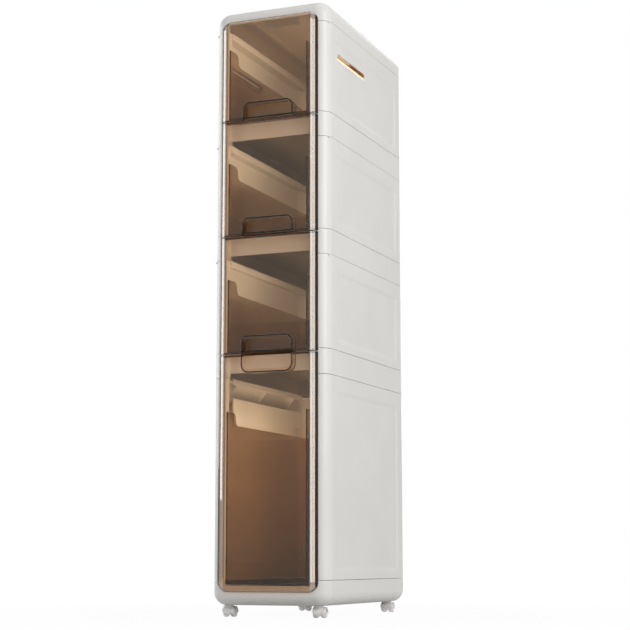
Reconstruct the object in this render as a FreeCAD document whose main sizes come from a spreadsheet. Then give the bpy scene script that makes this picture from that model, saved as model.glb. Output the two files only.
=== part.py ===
"""A slim four-tier storage trolley: a stacked white body, four clear drawers and four swivel casters.

Millimetres. The origin is on the floor under the middle of the trolley, +Z is up and the drawers open to -Y.
"""
import FreeCAD
import Part
import Sketcher
import os

doc = FreeCAD.newDocument("storage_trolley")
sheet = doc.addObject("Spreadsheet::Sheet", "Sizes")


class Length:
    """A size of the sheet, or a sum of such sizes: its expression and its present value."""

    def __init__(self, text, value):
        self.text = text
        self.value = value

    def joined(self, sign, other, value):
        return Length(f"({self.text} {sign} {other.text})", value)

    def __add__(self, other):
        return self.joined("+", other, self.value + other.value)

    def __sub__(self, other):
        return self.joined("-", other, self.value - other.value)

    def __mul__(self, number):
        return Length(f"({self.text} * {number})", self.value * number)

    def __truediv__(self, number):
        return Length(f"({self.text} / {number})", self.value / number)

    def __neg__(self):
        return self * -1


ZERO = Length("0 mm", 0.0)
FULL_TURN = 360
HALF_TURN = 180
row_count = 0


def size(alias, value, note):
    """Writes one driving dimension into the sheet and gives it back as a Length."""
    global row_count
    row_count += 1
    sheet.set(f"A{row_count}", note)
    sheet.set(f"B{row_count}", str(value))
    sheet.setAlias(f"B{row_count}", alias)
    return Length(f"Sizes.{alias} * 1 mm", float(value))


# Body as a whole
body_width = size("body_width", 220, "outer width of the white body")
body_depth = size("body_depth", 400, "outer depth of the white body")
corner_radius = size("corner_radius", 26, "upright corners of the body, seen from above")
panel_wall = size("panel_wall", 3, "wall of every white piece")
column_width = size("column_width", 30, "white on each side of the front opening")
flange_return = size("flange_return", 12, "depth of the lip behind each front flange")
rear_flange = size("rear_flange", 40, "rear flange from the side of the body")
seam_chamfer = size("seam_chamfer", 0.8, "bevel that shows as a thin line at each seam")
overrun = size("overrun", 4, "how far every cut passes the surface it starts from")
fit_gap = size("fit_gap", 0.2, "clearance between loose pieces that sit in one another")

# Heights, from the floor upwards
ground_clearance = size("ground_clearance", 20, "underside of the base above the floor")
base_height = size("base_height", 43, "height of the base")
low_tier_height = size("low_tier_height", 349, "side panels of the lowest tier")
tier_height = size("tier_height", 165, "side panels of each upper tier")
band_height = size("band_height", 44.5, "shelf frame between two tiers")
cover_height = size("cover_height", 39.5, "height of the top cover")

# Drawer fronts
front_inset = size("front_inset", 16.5, "sides of the fronts from the sides of the body")
front_stand = size("front_stand", 10, "how far the fronts stand before the body")
front_wall = size("front_wall", 3, "wall of the drawer fronts")
front_edge_radius = size("front_edge_radius", 8.5, "rounding of the outer edges of the fronts")
front_outline_radius = size("front_outline_radius", 18, "outer corners of the row of fronts")
front_margin = size("front_margin", 22.5, "white left above and below the row of fronts")
front_gap = size("front_gap", 1.2, "gap between two fronts")
front_clearance = size("front_clearance", 0.6, "gap between the fronts and the body")

# Drawer boxes
box_side_gap = size("box_side_gap", 4, "drawer boxes inside the front opening, each side")
box_rear_gap = size("box_rear_gap", 33.5, "drawer boxes before the back panels")
box_wall = size("box_wall", 2.5, "wall of the drawer boxes")
box_corner_radius = size("box_corner_radius", 10, "inner upright rear corners of the boxes")
box_edge_radius = size("box_edge_radius", 4, "rounding along the bottom edges of the boxes")
box_height = size("box_height", 108, "side walls of the upper boxes")
low_box_height = size("low_box_height", 274, "side walls of the lowest box")
shoulder_rise = size("shoulder_rise", 22, "how much the side walls rise towards the front")
shoulder_length = size("shoulder_length", 34, "length of the raised part of the side walls")
shoulder_radius = size("shoulder_radius", 10, "rounding of the sweep in the side walls")
runner_height = size("runner_height", 3.5, "runners under the drawers")
runner_width = size("runner_width", 6, "width of a runner")
runner_spacing = size("runner_spacing", 116, "distance between the two runners of a drawer")
slide_gap = size("slide_gap", 0.3, "running gap between a drawer and its runners")

# Finger pulls
pull_width = size("pull_width", 97, "outer width of a pull")
pull_height = size("pull_height", 32, "height of a pull from the edge of its front")
pull_radius = size("pull_radius", 14, "outer corners of a pull")
pull_wall = size("pull_wall", 2.2, "wall of a pull")
pull_bead = size("pull_bead", 1.5, "how far the rim of a pull stands before the front")
pull_depth = size("pull_depth", 18, "depth of a pull behind the face of the front")
pull_lip = size("pull_lip", 4, "lip that the fingers hook behind")

# Shelf frames
plate_drop = size("plate_drop", 6, "shelf plate below the top edge of its frame")
fascia_setback = size("fascia_setback", 14, "fascia behind the front of the body")
fascia_lift = size("fascia_lift", 8.5, "lower edge of the fascia above the frame's lower edge")
ceiling_rib_depth = size("ceiling_rib_depth", 14, "ribs under a shelf plate")
ceiling_rib_spacing = size("ceiling_rib_spacing", 38, "distance between two ceiling ribs")
ceiling_rib_count = 4
side_guide_height = size("side_guide_height", 8, "guides beside a drawer box")
lip_height = size("lip_height", 5, "locating lips that stand up into the panels above")
lip_inset = size("lip_inset", 60, "locating lips from the front and rear of the body")

# Side panels
ledge_height = size("ledge_height", 11, "inner ledge along the top of the side panels")
ledge_clearance = size("ledge_clearance", 2, "ledge and guides beside the drawer boxes")
field_depth = size("field_depth", 1.2, "recessed field on the outside of the side panels")
field_slope = size("field_slope", 9, "width of the sloping edge of the field")
field_front = size("field_front", 38, "field from the front of the body")
field_rear = size("field_rear", 44, "field from the rear of the body")
field_top = size("field_top", 24, "field below the top of its panel")
field_foot = size("field_foot", 12, "field above the foot of its panel")
field_radius = size("field_radius", 12, "corners of the field")
slot_length = size("slot_length", 137, "carry slot in the top pair of panels")
slot_height = size("slot_height", 12, "height of the carry slot")
slot_front = size("slot_front", 52, "carry slot from the front of the body")
slot_drop = size("slot_drop", 48, "carry slot below the top of its panel")
slot_radius = size("slot_radius", 4, "corners of the carry slot")
slot_collar = size("slot_collar", 8, "collar round the carry slot inside the panel")

# Guides of the lowest tier
guide_beam = size("guide_beam", 10, "height of the beam along the top of a guide")
guide_recess = size("guide_recess", 34, "foot of the recess between beam and face")
guide_clearance = size("guide_clearance", 0.7, "foot of a guide above the lowest drawer's side walls")
guide_rear_gap = size("guide_rear_gap", 66, "rear end of a guide from the rear of the body")
gusset_start = size("gusset_start", 24, "first and last gusset from the ends of a guide")
gusset_count = 3
notch_length = size("notch_length", 38, "notch in the rear end of a guide's face")
notch_height = size("notch_height", 9, "height of that notch")
notch_lift = size("notch_lift", 8, "notch above the foot of a guide")

# Back panels
back_wall = size("back_wall", 2.5, "wall of the back panels")
back_lap = size("back_lap", 12, "lap of the back panels behind the rear flanges")
back_field_depth = size("back_field_depth", 0.8, "recessed field of the back panels")
back_field_margin = size("back_field_margin", 22, "border round that field")

# Top cover
cover_edge_radius = size("cover_edge_radius", 24, "rounding along the top of the cover")
cover_opening = size("cover_opening", 12, "front opening above the foot of the cover")
cover_rib_depth = size("cover_rib_depth", 8, "ribs under the cover")
cover_rib_wall = size("cover_rib_wall", 2, "wall of those ribs")
cover_rib_spacing = size("cover_rib_spacing", 120, "distance between the pairs of ribs")
cover_groove = size("cover_groove", 7, "groove between the two ribs of a pair")
stop_bar_length = size("stop_bar_length", 64, "stop bar under the cover")
stop_bar_width = size("stop_bar_width", 10, "width of the stop bar")
stop_bar_height = size("stop_bar_height", 20, "height of the stop bar")
stop_bar_back = size("stop_bar_back", 52, "stop bar from the front of the body")

# Base
base_edge_radius = size("base_edge_radius", 22, "rounding along the bottom of the base")
base_runner_top = size("base_runner_top", 35, "top of the base's runners above its underside")
sill_drop = size("sill_drop", 9.5, "front sill of the base below its top edge")
boss_height = size("boss_height", 19, "caster bosses above the floor of the base")
boss_wall = size("boss_wall", 3, "wall of the caster bosses")

# Casters
caster_side = size("caster_side", 26, "swivel axes from the sides of the body")
caster_front = size("caster_front", 25, "front swivel axes from the front of the body")
caster_rear = size("caster_rear", 40, "rear swivel axes from the rear of the body")
caster_trail = size("caster_trail", 5, "axle behind the swivel axis")
wheel_diameter = size("wheel_diameter", 16, "diameter of a wheel")
wheel_width = size("wheel_width", 8, "width of one wheel")
wheel_edge_radius = size("wheel_edge_radius", 2.2, "rounding of the tread towards the web")
wheel_face_radius = size("wheel_face_radius", 1.25, "rounding of the tread towards the outer face")
wheel_dish = size("wheel_dish", 1.5, "dished outer face of a wheel")
wheel_rim = size("wheel_rim", 2.2, "rim round the dished face")
wheel_hub = size("wheel_hub", 6, "diameter of the wheel's hub")
web_thickness = size("web_thickness", 4, "web of the yoke between the wheels")
web_width = size("web_width", 10, "width of the web")
web_radius = size("web_radius", 2.5, "lower corners of the web")
web_gap = size("web_gap", 0.8, "gap between the web and each wheel")
hood_gap = size("hood_gap", 0.9, "gap between the wheels and the hood")
hood_wall = size("hood_wall", 1.6, "wall of the hood")
axle_diameter = size("axle_diameter", 3, "axle of a caster")
axle_play = size("axle_play", 0.08, "radial play of a wheel on its axle")
stem_diameter = size("stem_diameter", 7, "swivel stem of a caster")
stem_play = size("stem_play", 0.08, "radial play of a stem in its socket")
stem_length = size("stem_length", 18, "length of a stem")
swivel_boss_diameter = size("swivel_boss_diameter", 15, "boss on the top of a yoke")
swivel_gap = size("swivel_gap", 0.3, "gap between a yoke and its socket")
socket_wall = size("socket_wall", 2, "wall of a socket")
socket_flange = size("socket_flange", 1.4, "flange of a socket under the base")
socket_flange_width = size("socket_flange_width", 17, "diameter of that flange")
doc.recompute()

half_width = body_width / 2
half_opening = half_width - column_width
half_rear_opening = half_width - rear_flange
half_front = half_width - front_inset
half_box = half_opening - box_side_gap
ledge_edge = half_box + ledge_clearance
front_plane = -(body_depth - front_stand - pull_bead) / 2
base_top = ground_clearance + base_height

# Bands and tiers from the top down
low_band = base_top + low_tier_height
middle_band = low_band + band_height + tier_height
high_band = middle_band + band_height + tier_height
cover_foot = high_band + band_height + tier_height
bands = [high_band, middle_band, low_band]
tier_feet = [band + band_height for band in bands] + [base_top]
tier_heights = [tier_height for band in bands] + [low_tier_height]
tier_count = len(tier_feet)
sub_parts = []


def new_body(name, x, y, z):
    """Starts one sub-part at its place in the trolley."""
    body = doc.addObject("PartDesign::Body", name)
    body.Label = name
    for axis, place in zip("xyz", (x, y, z)):
        body.setExpression(f"Placement.Base.{axis}", place.text)
    sub_parts.append(body)
    return body


def new_sketch(body, name, plane, level):
    """A sketch on one of the body's own planes, moved along that plane's normal."""
    sketch = body.newObject("Sketcher::SketchObject", name)
    support = [item for item in body.Origin.OriginFeatures if item.Role == plane]
    sketch.AttachmentSupport = [(support[0], "")]
    sketch.MapMode = "FlatFace"
    sketch.setExpression("AttachmentOffset.Base.z", level.text)
    return sketch


def bind(sketch, kind, geometry, point, length):
    """Holds one coordinate of a sketched point at a size of the sheet."""
    number = sketch.addConstraint(Sketcher.Constraint(kind, -1, 1, geometry, point, length.value))
    sketch.setExpression(f"Constraints[{number}]", length.text)


def outline(sketch, corners):
    """A closed outline of straight edges through corners (x, y) or (x, y, radius)."""
    count = len(corners)
    spots = [FreeCAD.Vector(corner[0].value, corner[1].value, 0) for corner in corners]
    radii = [corner[2] if len(corner) == 3 else None for corner in corners]

    def cut_back(number, towards):
        """Where an edge ends next to a corner: at the corner, or where its rounding starts."""
        step = (spots[towards] - spots[number]).normalize()
        return spots[number] + step * (radii[number].value if radii[number] else 0)

    lines = []
    for number in range(count):
        following = (number + 1) % count
        start = cut_back(number, following)
        end = cut_back(following, number)
        lines.append(sketch.addGeometry(Part.LineSegment(start, end), False))
    level = []
    upright = []
    for number in range(count):
        this, following = corners[number], corners[(number + 1) % count]
        level.append(this[1].text == following[1].text)
        upright.append(this[0].text == following[0].text)
        if level[number]:
            sketch.addConstraint(Sketcher.Constraint("Horizontal", lines[number]))
            bind(sketch, "DistanceY", lines[number], 1, this[1])
        if upright[number]:
            sketch.addConstraint(Sketcher.Constraint("Vertical", lines[number]))
            bind(sketch, "DistanceX", lines[number], 1, this[0])
    for number in range(count):
        before = (number - 1) % count
        if radii[number]:
            add_rounding(sketch, lines[before], lines[number], spots, number, before, radii[number])
            continue
        sketch.addConstraint(Sketcher.Constraint("Coincident", lines[before], 2, lines[number], 1))
        if not (upright[before] or upright[number]):
            bind(sketch, "DistanceX", lines[number], 1, corners[number][0])
        if not (level[before] or level[number]):
            bind(sketch, "DistanceY", lines[number], 1, corners[number][1])


def add_rounding(sketch, line_before, line_after, spots, number, before, radius):
    """A quarter arc, tangent to the two edges that meet square at a corner."""
    inward = (spots[before] - spots[number]).normalize()
    onward = (spots[(number + 1) % len(spots)] - spots[number]).normalize()
    centre = spots[number] + (inward + onward) * radius.value
    middle = centre - (inward + onward).normalize() * radius.value
    first = spots[number] + inward * radius.value
    last = spots[number] + onward * radius.value
    arc = sketch.addGeometry(Part.Arc(first, middle, last), False)
    left_turn = inward.cross(onward).z < 0
    first_end, last_end = (1, 2) if left_turn else (2, 1)
    sketch.addConstraint(Sketcher.Constraint("Tangent", line_before, 2, arc, first_end))
    sketch.addConstraint(Sketcher.Constraint("Tangent", arc, last_end, line_after, 1))
    constraint = sketch.addConstraint(Sketcher.Constraint("Radius", arc, radius.value))
    sketch.setExpression(f"Constraints[{constraint}]", radius.text)


def circle(sketch, x, y, diameter):
    """A full circle in a sketch."""
    centre = FreeCAD.Vector(x.value, y.value, 0)
    ring = sketch.addGeometry(Part.Circle(centre, FreeCAD.Vector(0, 0, 1), diameter.value / 2), False)
    bind(sketch, "DistanceX", ring, 3, x)
    bind(sketch, "DistanceY", ring, 3, y)
    constraint = sketch.addConstraint(Sketcher.Constraint("Diameter", ring, diameter.value))
    sketch.setExpression(f"Constraints[{constraint}]", diameter.text)


def rectangle(low_x, low_y, high_x, high_y):
    """The four corners of a plain rectangle."""
    return [(low_x, low_y), (high_x, low_y), (high_x, high_y), (low_x, high_y)]


def extrude(body, kind, name, plane, level, loops, length, reverse=False, middle=False):
    """A pad or pocket of one or more outlines; a loop of one entry is a circle."""
    sketch = new_sketch(body, f"{name}_sketch", plane, level)
    for loop in loops:
        if len(loop) == 1:
            circle(sketch, *loop[0])
        else:
            outline(sketch, loop)
    doc.recompute()
    before = body.Shape.Volume if kind == "Pocket" else 0
    feature = body.newObject(f"PartDesign::{kind}", name)
    feature.Profile = sketch
    feature.setExpression("Length", length.text)
    feature.Reversed = reverse
    feature.Midplane = middle
    doc.recompute()
    if kind == "Pocket" and body.Shape.Volume >= before:
        raise RuntimeError(f"{body.Label}: {name} cuts nothing")
    return feature


def pad(body, *details, **options):
    return extrude(body, "Pad", *details, **options)


def pocket(body, *details, **options):
    return extrude(body, "Pocket", *details, **options)


def revolve(body, name, plane, axis, loops, turn):
    """A revolved outline about one of the sketch's own axes."""
    sketch = new_sketch(body, f"{name}_sketch", plane, ZERO)
    for loop in loops:
        outline(sketch, loop)
    doc.recompute()
    feature = body.newObject("PartDesign::Revolution", name)
    feature.Profile = sketch
    feature.ReferenceAxis = (sketch, [axis])
    feature.Angle = turn
    doc.recompute()
    return feature


def soften(body, kind, name, feature, amount, wanted):
    """Rounds or bevels the edges of a feature that the test picks out."""
    names = [f"Edge{number}" for number, edge in enumerate(feature.Shape.Edges, 1) if wanted(edge)]
    if not names:
        raise RuntimeError(f"{body.Label}: {name} finds no edge")
    softened = body.newObject(f"PartDesign::{kind}", name)
    softened.Base = (feature, names)
    softened.setExpression("Radius" if kind == "Fillet" else "Size", amount.text)
    doc.recompute()
    return softened


def hollow(body, name, feature, wall, wanted):
    """Turns a solid into a shell that is open at the faces the test picks out."""
    names = [f"Face{number}" for number, face in enumerate(feature.Shape.Faces, 1) if wanted(face)]
    shell = body.newObject("PartDesign::Thickness", name)
    shell.Base = (feature, names)
    shell.setExpression("Value", wall.text)
    shell.Reversed = True
    doc.recompute()
    return shell


def near(first, second):
    """True for two coordinates that are the same but for rounding."""
    return abs(first - second) < Part.Precision.confusion() * body_width.value


def body_plan():
    """The outline of the body seen from above."""
    return [
        (-half_width, ZERO, corner_radius),
        (half_width, ZERO, corner_radius),
        (half_width, body_depth, corner_radius),
        (-half_width, body_depth, corner_radius),
    ]


def on_skin(edge):
    """True for an edge on the outer skin of the body, between the flanges' inner ends."""
    spot = edge.CenterOfMass
    box = edge.BoundBox
    if near(box.XLength, 0) or near(box.YLength, 0):
        return near(abs(spot.x), half_width.value) or near(spot.y, 0) or near(spot.y, body_depth.value)
    return hasattr(edge.Curve, "Radius") and near(edge.Curve.Radius, corner_radius.value)


def seam_bevel(body, feature):
    """Bevels the lower outer edge, which shows as the thin line of a seam."""
    return soften(
        body, "Chamfer", "seam_bevel", feature, seam_chamfer,
        lambda edge: near(edge.BoundBox.ZMax, 0) and on_skin(edge),
    )


def side_panel(name, side, tier, foot, height):
    """A side wall with its rounded front column, front flange, rear flange, ledge and recessed field."""
    body = new_body(name, ZERO, front_plane, foot)
    inner = half_width - panel_wall
    inner_radius = corner_radius - panel_wall
    flange_back = half_opening + panel_wall
    plan = [
        (half_opening, ZERO),
        (half_width, ZERO, corner_radius),
        (half_width, body_depth, corner_radius),
        (half_rear_opening, body_depth),
        (half_rear_opening, body_depth - panel_wall),
        (inner, body_depth - panel_wall, inner_radius),
        (inner, panel_wall, inner_radius),
        (flange_back, panel_wall),
        (flange_back, flange_return),
        (half_opening, flange_return),
    ]
    plan = [(corner[0] * side, *corner[1:]) for corner in plan]
    wall = pad(body, "wall", "XY_Plane", ZERO, [plan], height)
    seam_bevel(body, wall)
    if tier != tier_count:
        add_ledge(body, side, height)
    if tier == 1:
        add_carry_slot(body, side, height)
    add_field(body, side, height)


def add_ledge(body, side, height):
    """The angled ledge along the inside of a panel's top edge."""
    root = half_width - panel_wall / 2
    section = [
        (root, height),
        (ledge_edge, height),
        (ledge_edge, height - ledge_height),
        (ledge_edge + panel_wall, height - ledge_height),
        (ledge_edge + panel_wall, height - panel_wall),
        (root, height - panel_wall),
    ]
    section = [(x * side, z) for x, z in section]
    length = body_depth - flange_return - panel_wall - back_wall - corner_radius
    pad(body, "ledge", "XZ_Plane", -flange_return, [section], length, reverse=True)


def add_carry_slot(body, side, height):
    """The narrow hand slot with its collar inside the panel."""
    low = height - slot_drop - slot_height
    high = height - slot_drop
    rear = slot_front + slot_length
    collar_wall = panel_wall
    collar_radius = slot_radius + collar_wall
    skin = (half_width - panel_wall / 2) * side
    collar = [
        (slot_front - collar_wall, low - collar_wall, collar_radius),
        (rear + collar_wall, low - collar_wall, collar_radius),
        (rear + collar_wall, high + collar_wall, collar_radius),
        (slot_front - collar_wall, high + collar_wall, collar_radius),
    ]
    pad(body, "slot_collar", "YZ_Plane", skin, [collar], slot_collar, reverse=side > 0)
    slot = [
        (slot_front, low, slot_radius),
        (rear, low, slot_radius),
        (rear, high, slot_radius),
        (slot_front, high, slot_radius),
    ]
    start = (half_width + overrun) * side
    depth = panel_wall + slot_collar + overrun * 2
    pocket(body, "carry_slot", "YZ_Plane", start, [slot], depth, reverse=side < 0)


def add_field(body, side, height):
    """The shallow field with sloping edges pressed into the outside of a panel."""
    def loop(grow, radius):
        low_y = field_front - grow
        high_y = body_depth - field_rear + grow
        low_z = field_foot - grow
        high_z = height - field_top + grow
        return [
            (low_y, low_z, radius),
            (high_y, low_z, radius),
            (high_y, high_z, radius),
            (low_y, high_z, radius),
        ]

    mouth = new_sketch(body, "field_mouth", "YZ_Plane", half_width * side)
    outline(mouth, loop(ZERO, field_radius))
    floor = new_sketch(body, "field_floor", "YZ_Plane", (half_width - field_depth) * side)
    outline(floor, loop(-field_slope, field_radius))
    doc.recompute()
    before = body.Shape.Volume
    field = body.newObject("PartDesign::SubtractiveLoft", "field")
    field.Profile = mouth
    field.Sections = [floor]
    field.Ruled = True
    doc.recompute()
    if body.Shape.Volume >= before:
        raise RuntimeError(f"{body.Label}: the field cuts nothing")


def back_panel(name, foot, height):
    """A plain rear wall behind the rear flanges, with a shallow field."""
    body = new_body(name, ZERO, front_plane, foot)
    half = half_rear_opening + back_lap
    rear = body_depth - panel_wall
    pad(body, "wall", "XY_Plane", ZERO, [rectangle(-half, rear - back_wall, half, rear)], height)
    edge = half_rear_opening - back_field_margin
    field = [
        (-edge, back_field_margin, field_radius),
        (edge, back_field_margin, field_radius),
        (edge, height - back_field_margin, field_radius),
        (-edge, height - back_field_margin, field_radius),
    ]
    depth = overrun + back_field_depth
    pocket(body, "field", "XZ_Plane", -(rear + overrun), [field], depth, reverse=True)


def shelf_frame(name, foot):
    """A band between two tiers: walls all round, the shelf plate, runners, guides, ribs and locating lips."""
    body = new_body(name, ZERO, front_plane, foot)
    inner = half_width - panel_wall
    inner_radius = corner_radius - panel_wall
    rear = body_depth - panel_wall
    flange_back = half_opening + panel_wall
    fascia_back = fascia_setback + panel_wall
    block = [
        (half_opening, ZERO),
        (half_width, ZERO, corner_radius),
        (half_width, body_depth, corner_radius),
        (-half_width, body_depth, corner_radius),
        (-half_width, ZERO, corner_radius),
        (-half_opening, ZERO),
        (-half_opening, fascia_setback),
        (half_opening, fascia_setback),
    ]
    seam_bevel(body, pad(body, "block", "XY_Plane", ZERO, [block], band_height))
    tray = [
        (half_opening, -overrun),
        (half_opening, fascia_back),
        (inner, fascia_back),
        (inner, rear, inner_radius),
        (-inner, rear, inner_radius),
        (-inner, fascia_back),
        (-half_opening, fascia_back),
        (-half_opening, -overrun),
    ]
    pocket(body, "tray", "XY_Plane", band_height + overrun, [tray], plate_drop + overrun)
    underside = [
        (flange_back, panel_wall),
        (inner, panel_wall, inner_radius),
        (inner, rear, inner_radius),
        (-inner, rear, inner_radius),
        (-inner, panel_wall, inner_radius),
        (-flange_back, panel_wall),
        (-flange_back, fascia_back),
        (flange_back, fascia_back),
    ]
    plate_top = band_height - plate_drop
    plate_foot = plate_top - panel_wall
    pocket(body, "underside", "XY_Plane", -overrun, [underside], plate_foot + overrun, reverse=True)
    below_fascia = rectangle(-half_opening, -overrun, half_opening, fascia_lift)
    pocket(body, "below_fascia", "XZ_Plane", overrun, [below_fascia], fascia_back + overrun)
    ribs = []
    for number in range(ceiling_rib_count):
        middle = ceiling_rib_spacing * (number - (ceiling_rib_count - 1) / 2)
        ribs.append(rectangle(middle - panel_wall / 2, fascia_back - panel_wall / 2, middle + panel_wall / 2,
                              rear + panel_wall / 2))
    rib_level = plate_foot - ceiling_rib_depth
    pad(body, "ceiling_ribs", "XY_Plane", rib_level, ribs, ceiling_rib_depth + panel_wall / 2)
    add_runners(body, plate_top, runner_height, fascia_setback)
    guides = []
    lips = []
    guide_end = rear - back_wall - fit_gap
    for side in (-1, 1):
        guides.append(rectangle(ledge_edge * side, fascia_back, (ledge_edge + panel_wall) * side, guide_end))
        lips.append(rectangle((inner - fit_gap - panel_wall) * side, lip_inset, (inner - fit_gap) * side,
                              body_depth - lip_inset))
    root = panel_wall / 2
    pad(body, "side_guides", "XY_Plane", plate_top - root, guides, side_guide_height + root)
    pad(body, "locating_lips", "XY_Plane", plate_top - root, lips, plate_drop + lip_height + root)


def add_runners(body, plate_top, height, start):
    """The two strips that a drawer box slides on."""
    rear = body_depth - panel_wall - corner_radius
    strips = []
    for side in (-1, 1):
        middle = runner_spacing / 2 * side
        strips.append(rectangle(middle - runner_width / 2, start, middle + runner_width / 2, rear))
    root = panel_wall / 2
    pad(body, "runners", "XY_Plane", plate_top - root, strips, height + root)


def top_cover():
    """The shallow lid, hollow from below, with paired ribs and the stop bar of the top drawer."""
    body = new_body("top_cover", ZERO, front_plane, cover_foot)
    block = pad(body, "block", "XY_Plane", ZERO, [body_plan()], cover_height)
    rounded = soften(
        body, "Fillet", "rounded_top", block, cover_edge_radius,
        lambda edge: near(edge.BoundBox.ZMin, cover_height.value),
    )
    shell = hollow(body, "shell", rounded, panel_wall, lambda face: near(face.BoundBox.ZMax, 0))
    seam_bevel(body, shell)
    opening = rectangle(-half_opening, -overrun, half_opening, cover_opening)
    pocket(body, "front_opening", "XZ_Plane", overrun, [opening], panel_wall + overrun * 2)
    ribs = []
    reach = body_depth - cover_edge_radius
    for side in (-1, 1):
        for edge in (-1, 1):
            middle = cover_rib_spacing / 2 * side + cover_groove / 2 * edge
            half_rib = cover_rib_wall / 2
            ribs.append(rectangle(middle - half_rib, cover_edge_radius, middle + half_rib, reach))
    root = panel_wall / 2
    ceiling = cover_height - panel_wall
    pad(body, "ribs", "XY_Plane", ceiling - cover_rib_depth, ribs, cover_rib_depth + root)
    half_bar = stop_bar_length / 2
    bar = rectangle(-half_bar, stop_bar_back, half_bar, stop_bar_back + stop_bar_width)
    pad(body, "stop_bar", "XY_Plane", ceiling - stop_bar_height, [bar], stop_bar_height + root)


def base_piece():
    """The bowl-shaped base with its front sill, runners and caster bosses."""
    body = new_body("base", ZERO, front_plane, ground_clearance)
    block = pad(body, "block", "XY_Plane", ZERO, [body_plan()], base_height)
    rounded = soften(
        body, "Fillet", "rounded_foot", block, base_edge_radius,
        lambda edge: near(edge.BoundBox.ZMax, 0),
    )
    hollow(body, "shell", rounded, panel_wall, lambda face: near(face.BoundBox.ZMin, base_height.value))
    sill = rectangle(-half_opening, base_height - sill_drop, half_opening, base_height + overrun)
    pocket(body, "sill", "XZ_Plane", overrun, [sill], panel_wall + overrun * 2)
    add_runners(body, panel_wall, base_runner_top - panel_wall, base_edge_radius)
    root = panel_wall / 2
    bosses = []
    bores = []
    bore = stem_diameter + (stem_play + socket_wall + fit_gap) * 2
    for x, y in caster_places():
        bosses.append([(x, y, bore + boss_wall * 2)])
        bores.append([(x, y, bore)])
    pad(body, "caster_bosses", "XY_Plane", root, bosses, boss_height + root)
    bore_depth = panel_wall + boss_height - boss_wall + overrun
    pocket(body, "caster_bores", "XY_Plane", -overrun, bores, bore_depth, reverse=True)
    lips = []
    inner = half_width - panel_wall
    for side in (-1, 1):
        lips.append(rectangle((inner - fit_gap - panel_wall) * side, lip_inset, (inner - fit_gap) * side,
                              body_depth - lip_inset))
    lip_foot = base_edge_radius
    pad(body, "locating_lips", "XY_Plane", lip_foot, lips, base_height - lip_foot + lip_height)
    webs = []
    for side in (-1, 1):
        webs.append(rectangle((inner - fit_gap - root) * side, lip_inset, (inner + root) * side,
                              body_depth - lip_inset))
    pad(body, "lip_webs", "XY_Plane", lip_foot, webs, base_height - lip_foot)


def caster_places():
    """The four swivel axes, front pair first, measured from the middle of the body's front."""
    x = half_width - caster_side
    rear = body_depth - caster_rear
    return [(-x, caster_front), (x, caster_front), (-x, rear), (x, rear)]


def guide_rail(name, side):
    """A guide at the top of the lowest tier: beam, recess with gussets, and the flat face below."""
    body = new_body(name, ZERO, front_plane, low_band)
    wall = half_width - panel_wall - fit_gap
    back = wall - panel_wall
    face = ledge_edge + panel_wall
    lower, upper, box_foot = drawer_levels(tier_count)
    guide_height = low_band - box_foot - low_box_height - guide_clearance
    section = [
        (wall, ZERO),
        (ledge_edge, ZERO),
        (ledge_edge, -guide_beam),
        (face, -guide_beam),
        (face, -panel_wall),
        (back, -panel_wall),
        (back, -guide_recess),
        (ledge_edge, -guide_recess),
        (ledge_edge, -guide_height),
        (face, -guide_height),
        (face, -(guide_recess + panel_wall)),
        (wall, -(guide_recess + panel_wall)),
    ]
    section = [(x * side, z) for x, z in section]
    start = corner_radius
    end = body_depth - guide_rear_gap
    pad(body, "rail", "XZ_Plane", -start, [section], end - start, reverse=True)
    root = panel_wall / 2
    gusset = [
        ((back + root) * side, -panel_wall),
        ((face - root) * side, -panel_wall),
        ((back - root) * side, -(guide_recess + root)),
        ((back + root) * side, -(guide_recess + root)),
    ]
    gusset_spacing = (end - start - gusset_start * 2 - panel_wall) / (gusset_count - 1)
    for number in range(gusset_count):
        place = start + gusset_start + gusset_spacing * number
        pad(body, f"gusset_{number}", "XZ_Plane", -place, [gusset], panel_wall, reverse=True)
    notch_foot = notch_lift - guide_height
    notch = rectangle(end - notch_length, notch_foot, end + overrun, notch_foot + notch_height)
    pocket(body, "notch", "YZ_Plane", (face + root) * side, [notch], panel_wall * 2, reverse=side < 0)


def drawer_levels(tier):
    """Lower and upper edge of a front, and the underside of its box, above the floor."""
    cover_top = cover_foot + cover_height
    edges = [band + band_height - plate_drop for band in bands]
    half_gap = front_gap / 2
    upper = cover_top - front_margin if tier == 1 else edges[tier - 2] - half_gap
    lower = ground_clearance + front_margin if tier == tier_count else edges[tier - 1] + half_gap
    if tier == tier_count:
        box_foot = ground_clearance + base_runner_top + slide_gap
    else:
        box_foot = edges[tier - 1] + runner_height + slide_gap
    return lower, upper, box_foot


def drawer_front(tier):
    """A dished clear panel; only the outer edges of the whole row of fronts are rounded."""
    lower, upper, box_foot = drawer_levels(tier)
    height = upper - lower
    body = new_body(f"drawer_front_{tier}", ZERO, front_plane, lower)
    top = (front_outline_radius,) if tier == 1 else ()
    foot = (front_outline_radius,) if tier == tier_count else ()
    face = [
        (-half_front, ZERO, *foot),
        (half_front, ZERO, *foot),
        (half_front, height, *top),
        (-half_front, height, *top),
    ]
    depth = front_stand - front_clearance
    block = pad(body, "block", "XZ_Plane", front_clearance, [face], depth)

    def outer_edge(edge):
        box = edge.BoundBox
        if not near(box.YMax, -front_stand.value):
            return False
        joint_below = tier != tier_count and near(box.ZMax, 0)
        joint_above = tier != 1 and near(box.ZMin, height.value)
        return not (joint_below or joint_above)

    rounded = soften(body, "Fillet", "rounded_edges", block, front_edge_radius, outer_edge)
    hollow(body, "dish", rounded, front_wall, lambda flat: near(flat.BoundBox.YMin, -front_clearance.value))
    hole = pull_outline(tier, height, fit_gap / 2, overrun)
    pocket(body, "pull_hole", "XZ_Plane", front_stand + overrun, [hole], depth + overrun * 2)


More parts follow.
